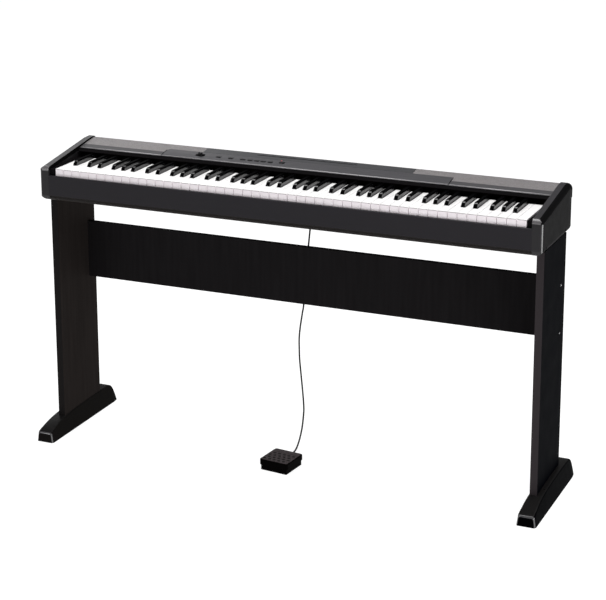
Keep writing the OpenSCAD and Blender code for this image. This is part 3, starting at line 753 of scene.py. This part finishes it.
def make_side_plate(side, sign):
    """Side plate: leaning lower front edge, round lower outer edge, notches with screws in them."""
    inner, outer, radius = INNER * sign, HALF_WIDTH * sign, 15
    plate_top = hi(f"{side}_end_block").z / MM
    bm = bmesh.new()
    outline = [(FRONT + 7, BODY_BOTTOM), (FRONT + 1, BODY_BOTTOM + 10), (FRONT, BODY_BOTTOM + 13),
               (FRONT, 713.2), (FRONT + 4, 714), (FRONT + 223, plate_top), (FRONT + 223, 721),
               (REAR - 3, 721), (REAR - 3, BODY_BOTTOM + 2), (REAR - 5, BODY_BOTTOM)]
    add_prism(bm, outline, inner, outer)
    plate = to_object(f"{side}_side_plate", bm)
    shape = bmesh.new()
    lower = [(outer - sign * radius * (1 - math.cos(a)), BODY_BOTTOM + radius * (1 - math.sin(a)))
             for a in reversed(quarter_turn(13))]
    outline = [(inner, OVER_CASE), (inner, BODY_BOTTOM)] + lower + [(outer, OVER_CASE)]
    add_beam(shape, outline, FRONT - 1, REAR + 1)
    combine(plate, shape, "INTERSECT")
    keep_round_corner(plate, inner, outer, 8)
    notches = bmesh.new()
    for y in TRAY_NOTCHES:
        x0, x1 = sorted((outer - 10 * sign, outer + sign))
        add_box(notches, x0, x1, y, y + NOTCH_LENGTH, BODY_BOTTOM - 1, BODY_BOTTOM + NOTCH_HEIGHT)
    combine(plate, notches)
    face_of_case, round_edge_painted_highlight, outer_side_painted_shade, notch_wall_painted_shade = range(4)
    for face in plate.data.polygons:
        place, out = face.center / MM, abs(face.normal.x)
        # Walls inside the notches get the black plastic: painted shade.
        if in_notch(place) and INNER + 1 < abs(place.x) < HALF_WIDTH - 0.5 and out < 0.1:
            face.material_index = notch_wall_painted_shade
        elif face.normal.x * sign < -0.9:
            face.material_index = face_of_case
        # Outer side faces and the undersides of the round lower edge get the dark
        # case_side_painted_shade copy: painted shade.
        elif out > 0.9 or face.normal.z < -0.2 and out > 0.1:
            face.material_index = outer_side_painted_shade
        # Faces part way round the upright front corner get the light case_edge_painted_highlight copy:
        # a painted highlight.
        else:
            face.material_index = round_edge_painted_highlight if 0.6 < out < 0.86 else face_of_case
    bevel(plate, 0.5, 3, 30)
    set_up(plate, ROOT, [f"{side}_end_block"], "case_plastic",
           "case", "case_edge_painted_highlight", "case_side_painted_shade", "black")
    bm = bmesh.new()
    for y in TRAY_NOTCHES:
        profile = [(0, 1.6), (0.4, 2.5), (2.0, 2.7)]
        start = mm(outer - 5 * sign, y + NOTCH_LENGTH / 2, BODY_BOTTOM + 9.5)
        add_lathe(bm, start, (-sign, 0, 0), profile, 20)
    set_up(to_object(f"{side}_tray_screws", bm), ROOT, [], "dark_steel", "screw")


def make_cap(side, sign):
    """Cap with a round nose, a round outer edge and a slope that bends near the rear."""
    inner, outer, radius = INNER * sign, (HALF_WIDTH + 0.6) * sign, 16
    bend, front_height, slope, rear_slope = 213, 724.1, 0.1477, 0.035
    nose = arc(FRONT + 11, 714.5, 11, 180, 100, 13)
    outline = nose + [(FRONT + bend, 755.6), (REAR - 8, 756.4), (REAR - 4, 755.2), (REAR - 2, 753.6),
                      (REAR - 0.6, 751), (REAR, 748), (REAR, 721), (FRONT + 223.6, 721),
                      (FRONT + 223.6, 744.6), (FRONT + 4, 714.6), (FRONT, 713.8)]
    bm = bmesh.new()
    add_prism(bm, outline, inner, outer)
    cap = to_object(f"{side}_cap", bm)
    section = [(inner, 0), (inner, -60), (outer, -60)]
    section += [(outer - sign * radius * (1 - math.cos(a)), radius * (math.sin(a) - 1))
                for a in quarter_turn(13)]
    shape = bmesh.new()
    add_beam(shape, section, -50, 290)
    split_faces(shape, mm(0, bend, 0), (0, 1, 0))
    for vert in shape.verts:
        along = vert.co.y / MM
        rise = slope * min(along, bend) + rear_slope * max(0, along - bend)
        vert.co.z += (front_height + rise) * MM
        vert.co.y += FRONT * MM
    combine(cap, shape, "INTERSECT")
    keep_round_corner(cap, inner, outer, 9)
    for face in cap.data.polygons:
        normal = face.normal
        # Sideways faces of the cap get the dark case_side_painted_shade copy: painted shade.
        if abs(normal.x) > 0.25:
            face.material_index = 2
        # Front-facing nose faces get the light nose colour: a painted highlight.
        elif normal.y < -0.25 and normal.z > -0.1:
            face.material_index = 1
    bevel(cap, 0.6, 3, 30)
    set_up(cap, ROOT, [f"{side}_end_cap"], "case_plastic", "cap", "nose", "case_side_painted_shade")


def make_end(side, sign):
    """One end of the case: plate, cap, key cheek, and a strip that closes the seam at the rear."""
    make_side_plate(side, sign)
    make_cap(side, sign)
    bm = bmesh.new()
    x0, x1 = sorted(((-KEYS_LEFT + 1.4) * sign, INNER * sign))
    add_box(bm, x0, x1, KEY_FRONT, LIP - 4, RAIL_TOP + 1, KEY_TOP - 1)
    set_up(bevel(to_object(f"{side}_key_cheek", bm), 1.2, 3), ROOT, [], "inner_black", "black")
    bm = bmesh.new()
    x0, x1 = sorted(((INNER - 0.8) * sign, (INNER + 0.8) * sign))
    add_box(bm, x0, x1, REAR - 3.8, REAR - 2.2, BODY_BOTTOM + 6, 740)
    set_up(to_object(f"{side}_seam_filler", bm), ROOT, [], "inner_black", "black")


def front_edge_painted_highlight(normal, middle):
    """Paints the narrow front edge of a top plate in the light lip colour: a painted highlight."""
    return 1 if normal.y < -0.8 and middle.y < LIP + 1 else 0


def cover_z(y):
    """Height of the sloping top surface."""
    front_slope, rear_slope = COVER_SLOPES
    return LIP_TOP + front_slope * (min(y, CREASE) - LIP) + rear_slope * max(0, y - CREASE)


def make_panel():
    """Control panel with a round rear left corner, which the grille fills."""
    low, high = lo("control_panel") / MM, hi("control_panel") / MM
    radius = 9
    keep = bmesh.new()
    corner = [(low.x + radius * (1 - math.cos(a)), high.y - radius * (1 - math.sin(a)))
              for a in quarter_turn(11)]
    outline = [(low.x - 1, LIP - 1), (low.x - 1, corner[0][1])] + corner
    outline += [(corner[-1][0], high.y + 1), (high.x + 1, high.y + 1), (high.x + 1, LIP - 1)]
    add_slab(keep, outline, UNDER_COVER, OVER_CASE)
    refine("panel_with_controls", "control_panel", ROOT, "panel_plastic", ["panel"], 0.5, keep=keep)
    bm = bmesh.new()
    y0, y1 = high.y - radius - 1, high.y + 0.4
    outline = [(y, cover_z(y) - 0.1) for y in (y0, y1)] + [(y, cover_z(y) - 2) for y in (y1, y0)]
    add_prism(bm, outline, low.x - 0.6, low.x + radius + 1)
    set_up(to_object("grille_in_panel_corner", bm), ROOT, [], "grille", "grille")


def make_lip():
    """Rolled front edge of the three top plates in the light lip colour, a painted highlight, and the
    dark gaps between them.
    """
    left, right = lo("control_panel").x / MM, hi("control_panel").x / MM
    bm = bmesh.new()
    for x0, x1 in ((-INNER + 0.2, left - 1.4), (left + 0.8, right - 0.8), (right + 1.4, INNER - 0.2)):
        add_prism(bm, arc(LIP + 1.7, LIP_TOP - 0.3, 1.7, 0, 337.5, 16), x0, x1)
    set_up(to_object("rolled_lip", bm), ROOT, [], "panel_plastic", "lip")
    bm = bmesh.new()
    rear = hi("control_panel").y / MM
    for x0, x1 in ((left - 1.4, left + 0.8), (right - 0.8, right + 1.4)):
        above = [(y, cover_z(y) + 0.06) for y in (LIP + 0.4, CREASE, rear - 8)]
        add_prism(bm, above + [(rear - 8, cover_z(rear - 8) - 3), (LIP + 0.4, LIP_TOP - 3)], x0, x1)
    set_up(to_object("gaps_beside_panel", bm), ROOT, [], "inner_black", "black")


def make_recess_lining():
    """Black floor of the slider's oval recess, with its slot."""
    low, high = lo("volume_knob") / MM, hi("volume_knob") / MM
    x, y = (low.x + high.x) / 2, (low.y + high.y) / 2
    turns = [math.radians(15 * k) for k in range(24)]
    outline = [(x + math.copysign(5.4, math.cos(a) + 1e-6) + 7.9 * math.cos(a), y + 7.9 * math.sin(a))
               for a in turns]
    bm = bmesh.new()
    for vert in add_slab(bm, outline, -2.9, -2.2):
        vert.co.z += cover_z(vert.co.y / MM) * MM
    slot = bmesh.new()
    add_box(slot, x - 11.5, x + 11.5, y - 2.6, y + 2.6, UNDER_COVER, OVER_CASE)
    set_up(combine(to_object("slider_recess", bm), slot), ROOT, [], "inner_black", "black")


def front_ledge_painted_highlight(normal, middle):
    """Paints the narrow upward ledges on the front of the tray in a light colour: a painted highlight.
    """
    return 1 if normal.z > 0.9 and middle.y < FRONT + 6 else 0


def make_case():
    """Tray, rail, top plates, grilles and both ends."""
    refine("case_tray", "lower_case", ROOT, "case_plastic", ["strip", "ledge_painted_highlight"], 0.5,
           paint=front_ledge_painted_highlight)
    refine("rail_in_front", "front_rail", ROOT, "case_plastic", ["rail"], 1.0, 4)
    refine("cover_shell", "top_cover", ROOT, "case_plastic", ["top", "lip"], 0.5, paint=front_edge_painted_highlight)
    make_panel()
    make_lip()
    make_recess_lining()
    refine("ledge_for_music_rest", "music_ledge", ROOT, "panel_plastic", ["ledge"], 0.4)
    refine("grille_on_left", "left_grille", ROOT, "grille", ["grille"], 0.3)
    refine("grille_on_right", "right_grille", ROOT, "grille", ["grille"], 0.3)
    refine("strip_behind_keys", "key_back_cover", ROOT, "inner_black", ["black"], 0.4)
    make_end("left", -1)
    make_end("right", 1)


# ---------- controls and inner parts ----------

def make_button(node):
    """A cap with round edges."""
    low, high = lo(node) / MM, hi(node) / MM
    bm = bmesh.new()
    add_box(bm, low.x, high.x, low.y, high.y, low.z, high.z)
    piece = bevel(to_object(f"cap_of_{node}", bm), 1.0, 4)
    set_up(piece, node, [node], "button", "button")


def make_knob():
    """Slider knob with a hollow top between two raised edges, on its stem."""
    low, high = lo("volume_knob") / MM, hi("volume_knob") / MM
    head = high.z - 8.4
    middle = (low.x + high.x) / 2
    outline = [(low.x, head), (high.x, head), (high.x - 0.6, high.z)]
    outline += [(middle + 3.2 * math.cos(a), high.z - 2.2 * math.sin(a))
                for a in (math.radians(30 * k) for k in range(7))]
    outline += [(low.x + 0.6, high.z)]
    bm = bmesh.new()
    add_beam(bm, outline, low.y, high.y)
    add_box(bm, middle - 2.5, middle + 2.5, low.y + 1.2, high.y - 1.2, low.z, head)
    piece = bevel(to_object("slider_knob", bm), 0.5, 3)
    set_up(piece, "volume_knob", ["volume_knob"], "button", "button")


def make_controls():
    """Buttons, slider and power lamp on the top plates."""
    for number in range(1, 8):
        make_button(f"button_{number}")
    make_button("power_button")
    make_knob()
    refine("lens_of_power_lamp", "power_lamp", ROOT, "lamp", ["lamp"], 0.5)


def make_inner_parts():
    """The pieces inside the case, and the sockets at its rear."""
    dress_cad("key_chassis", "zinc")
    dress_cad("key_pivot_rail", "steel")
    dress_cad("key_stop_felt", "felt")
    dress_cad("contact_board", "pcb")
    dress_cad("main_board", "pcb")
    dress_cad("speaker_drivers", "black")
    # The sockets' rounded edges get the light case_edge_painted_highlight copy: painted highlights.
    refine("sockets_and_plate", "rear_sockets", ROOT, "inner_black", ["case", "case_edge_painted_highlight"], 0.4,
           edge=1)


# ---------- stand ----------

# The feet's sections, as (y, height) or (y, height, how far in the sides stand)
FOOT_HEIGHTS = ((-140, 36), (-128, 39.5), (-115, 42.5), (-100, 45), (-85, 47), (-62, 49), (-40, 50.5),
                (-10, 51.6), (20, 52.5), (50, 53), (80, 53.2), (108, 53), (128, 52.4))
FOOT_NOSE = ((-170, 20, 4.6), (-169.5, 22.5, 3.2), (-168.4, 24.8, 1.8), (-166.6, 26.7, 0.8),
             (-164, 28.3, 0.2), (-160, 29.8, 0), (-152, 32.6, 0))
FOOT_HEEL = ((136, 51.8, 0), (142, 50.4, 0), (147, 48, 0), (151, 44.6, 0.2), (154.5, 40, 0.5),
             (158, 33, 0.9), (162, 24, 1.4), (166, 13, 2), (169, 3.4, 2.6), (170, 0.6, 3.4))
FOOT_LEAN = 8.5 / 62  # how far a side leans in per height


def foot_section(width, height, inset):
    """Trapezoid with round upper corners, in (x, z) about the foot's middle line."""
    radius = min(4.5, height * 0.45)
    half = width / 2 - inset
    side = math.atan(FOOT_LEAN)
    centre_z = height - radius
    centre_x = half - FOOT_LEAN * centre_z - radius / math.cos(side)
    corner = [(centre_x + radius * math.cos(side + (math.pi / 2 - side) * k / 6),
               centre_z + radius * math.sin(side + (math.pi / 2 - side) * k / 6)) for k in range(7)]
    right = [(half, 0)] + corner
    return right + [(-x, z) for x, z in reversed(right)]


def make_foot(side):
    """Arched foot that leans in on both sides, round at the nose and the heel, with a leg pocket."""
    node = f"{side}_foot"
    low, high = lo(node) / MM, hi(node) / MM
    leg_low, leg_high = lo(f"{side}_leg") / MM, hi(f"{side}_leg") / MM
    middle = (low.x + high.x) / 2
    sections = FOOT_NOSE + tuple((y, z, 0) for y, z in FOOT_HEIGHTS) + FOOT_HEEL
    bm = bmesh.new()
    width = high.x - low.x
    rings = [[bm.verts.new(mm(middle + x, y, z)) for x, z in foot_section(width, height, inset)]
             for y, height, inset in sections]
    count = len(rings[0])
    for near, far in zip(rings, rings[1:]):
        for i in range(count):
            j = (i + 1) % count
            bm.faces.new([near[i], near[j], far[j], far[i]])
    bm.faces.new(rings[0])
    bm.faces.new(rings[-1][::-1])
    bmesh.ops.recalc_face_normals(bm, faces=bm.faces)
    pocket = bmesh.new()
    room = 0.3
    add_box(pocket, leg_low.x - room, leg_high.x + room, leg_low.y - room, leg_high.y + room,
            leg_low.z, 90)
    piece = combine(to_object(f"moulded_{node}", bm), pocket)
    piece.data.set_sharp_from_angle(angle=math.radians(40))
    # Nose edges get the light glossy foot_nose_painted_highlight colour (painted highlight), upward
    # faces the lighter foot_top_painted_light (painted light), the rest the side copy for that foot,
    # lighter on the left and darker on the right (painted light and shade).
    for face in piece.data.polygons:
        normal, place = face.normal, face.center / MM
        nose = place.y < low.y + 3.6 and -0.93 < normal.y < -0.25
        face.material_index = 1 if nose else 2 if normal.z > 0.8 else 0
    set_up(piece, ROOT, [node], "foot_plastic", f"foot_{side}", "foot_nose_painted_highlight", "foot_top_painted_light")


def make_screws():
    """Panel screws with a round recess, sunk in the legs' outer sides."""
    low, high = lo("panel_screws") / MM, hi("panel_screws") / MM
    bm = bmesh.new()
    middle_y = (low.y + high.y) / 2
    for sign in (-1, 1):
        for z in (low.z + 4.2, high.z - 4.2):
            start = mm(sign * high.x, middle_y, z)
            profile = [(0.9, 1.9), (0.0, 2.3), (0.0, 3.4), (0.6, 4.1), (2.6, 4.2),
                       (2.8, 2.2), (38, 2.1)]
            add_lathe(bm, start, (-sign, 0, 0), profile, 24)
    piece = to_object("screws_of_back_panel", bm)
    piece.data.set_sharp_from_angle(angle=math.radians(35))
    set_up(piece, ROOT, ["panel_screws"], "dark_steel", "screw")


def board_edges(normal, middle):
    """Paints the edge band on a board's narrow front face."""
    return 1 if normal.y < -0.9 else 0


def make_stand():
    """Two legs in their feet, the back panel, and what holds them together."""
    for side in ("left", "right"):
        # Each leg gets its own lit or shaded copy of the melamine and edge band: painted light and
        # shade.
        refine(f"board_of_{side}_leg", f"{side}_leg", ROOT, "stand_board",
               [f"board_{side}", f"edge_{side}"], 0.9, paint=board_edges, edge=1)
    # The back panel's rounded edges get the lighter right edge band: a painted highlight.
    refine("board_behind", "back_panel", ROOT, "stand_board", ["board_back", "edge_right"], 0.9,
           edge=1)
    refine("angle_brackets", "leg_brackets", ROOT, "dark_steel", ["dark_steel"], 0.3)
    refine("bracket_bolts", "stand_bolts", ROOT, "dark_steel", ["dark_steel"], 0.4)
    make_foot("left")
    make_foot("right")
    make_screws()


# ---------- pedal ----------

def rounded_outline(x0, x1, y0, y1, radius, count=6):
    """A rectangle with round corners, in (x, y)."""
    corners = [(x1 - radius, y1 - radius, 0), (x0 + radius, y1 - radius, 90),
               (x0 + radius, y0 + radius, 180), (x1 - radius, y0 + radius, 270)]
    return [(x + radius * math.cos(math.radians(start + 90 * k / (count - 1))),
             y + radius * math.sin(math.radians(start + 90 * k / (count - 1))))
            for x, y, start in corners for k in range(count)]


def add_lid(bm, outer, inner, low, under, high):
    """Adds a lid that is open below; both outlines have the same number of points."""
    rings = [[bm.verts.new(mm(x, y, z)) for x, y in outline]
             for outline, z in ((inner, under), (inner, low), (outer, low), (outer, high))]
    for near, far in zip(rings, rings[1:]):
        for i in range(len(near)):
            j = (i + 1) % len(near)
            bm.faces.new([near[i], near[j], far[j], far[i]])
    bm.faces.new(rings[0])
    bm.faces.new(rings[-1])


def turn_pedal(bm):
    """Turns a shape that was drawn square about the pedal's middle, as the pedal lies on the floor."""
    turn = Matrix.Rotation(PEDAL_TURN, 3, "Z")
    bmesh.ops.rotate(bm, verts=bm.verts, cent=pedal_middle(), matrix=turn)
    return bm


def pedal_middle():
    """The plate's middle on the floor, in metres."""
    low, high = lo("pedal_plate"), hi("pedal_plate")
    return Vector(((low.x + high.x) / 2, (low.y + high.y) / 2, 0))


def make_pedal():
    """Housing, pin, spring, a lid that is open below, and its rubber tread with rows of bumps."""
    refine("pedal_housing", "pedal_base", ROOT, "pedal_plastic", ["pedal"], 0.8)
    dress_cad("pedal_pin", "steel")
    bm = bmesh.new()
    bm.from_mesh(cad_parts["pedal_spring"].data)
    spring = set_up(to_object("spring_under_plate", bm), ROOT, ["pedal_spring"], "steel", "steel")
    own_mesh(spring)
    middle = pedal_middle() / MM
    top = hi("pedal_plate").z / MM
    half = PEDAL_HALF_WIDTH
    x0, x1, y0, y1 = middle.x - half, middle.x + half, middle.y - half, middle.y + half
    bm = bmesh.new()
    outer = rounded_outline(x0, x1, y0, y1, 6)
    inner = rounded_outline(x0 + 2, x1 - 2, y0 + 2, y1 - 2, 3)
    add_lid(bm, outer, inner, top - 14, top - 2.5, top)
    plate = bevel(to_object("foot_plate", turn_pedal(bm)), 0.9, 4, 40)
    set_up(plate, "pedal_plate", ["pedal_plate"], "pedal_plastic", "pedal")

    bm = bmesh.new()
    add_slab(bm, rounded_outline(x0 + 3, x1 - 3, y0 + 3, y1 - 3, 4), top, top + 1.6)
    for row in range(4):
        for column in range(5):
            x = middle.x + (column - 2) * 13.5 + (-3 if row % 2 == 0 else 3)
            y = y0 + 10.5 + row * 13
            outline = rounded_outline(x - 3.8, x + 3.8, y - 2.9, y + 2.9, 2.8, 5)
            # Each bump gets the dark bump rubber: painted shade.
            add_slab(bm, outline, top + 1.4, top + 2.6, 1)
    add_box(bm, x0 + 4, x1 - 4, y1 - 20.5, y1 - 19.3, top + 1.4, top + 2.1)
    tread = bevel(to_object("rubber_tread", turn_pedal(bm)), 0.5, 3, 40)
    set_up(tread, "pedal_plate", ["pedal_tread"], "pedal_rubber", "tread", "bump")


# ---------- studio ----------

def add_area(name, place, target, size, power):
    """A white softbox that looks from its place at the target and isn't seen itself."""
    data = bpy.data.lights.new(name, "AREA")
    data.shape = "RECTANGLE"
    data.size, data.size_y = size
    data.energy = power
    light = bpy.data.objects.new(name, data)
    light.location = place
    light.rotation_euler = (Vector(target) - Vector(place)).to_track_quat("-Z", "Y").to_euler()
    light.visible_camera = False
    bpy.context.scene.collection.objects.link(light)


def make_studio():
    """White paper under and behind the piano, faint light from all sides, and four softboxes."""
    mesh = bpy.data.meshes.new("floor")
    reach = 40
    corners = [(-reach, -reach, 0), (reach, -reach, 0), (reach, reach, 0), (-reach, reach, 0)]
    mesh.from_pydata(corners, [], [(0, 1, 2, 3)])
    floor = bpy.data.objects.new("floor", mesh)
    floor.location.z = -0.0002
    bpy.context.scene.collection.objects.link(floor)
    white = bpy.data.materials.new("floor_paper")
    white.use_nodes = True
    shader = white.node_tree.nodes["Principled BSDF"]
    shader.inputs["Base Color"].default_value = (0.3, 0.3, 0.3, 1)
    shader.inputs["Roughness"].default_value = 0.9
    shader.inputs["Specular IOR Level"].default_value = 0.1
    shader.inputs["Emission Color"].default_value = (1, 1, 1, 1)
    shader.inputs["Emission Strength"].default_value = 0.87
    mesh.materials.append(white)

    world = bpy.data.worlds.new("studio")
    world.use_nodes = True
    background = world.node_tree.nodes["Background"]
    background.inputs["Color"].default_value = (0.98, 0.99, 1.0, 1)
    background.inputs["Strength"].default_value = 0.2
    bpy.context.scene.world = world
    bpy.context.scene.view_settings.view_transform = "Standard"

    sun = bpy.data.lights.new("overhead_sun", "SUN")
    sun.energy = 0.8
    sun.angle = math.radians(50)
    light = bpy.data.objects.new("overhead_sun", sun)
    light.rotation_euler = (math.radians(-12), math.radians(6), 0)
    bpy.context.scene.collection.objects.link(light)
    add_area("overhead_softbox", (0.12, -0.2, 3.0), (0.12, 0, 0.7), (3.6, 2.4), 84)
    add_area("front_softbox", (-2.0, -3.4, 1.8), (0, 0, 0.6), (1.6, 1.2), 20)
    add_area("low_right_softbox", (2.2, -0.9, 0.45), (0.6, -0.2, 0.6), (2.4, 0.8), 22)
    add_area("back_left_softbox", (-2.0, 1.9, 1.9), (-0.7, 0, 0.74), (1.4, 1.0), 6)


make_camera()
make_cord()
make_keys()
make_case()
make_controls()
make_inner_parts()
make_stand()
make_pedal()
make_studio()
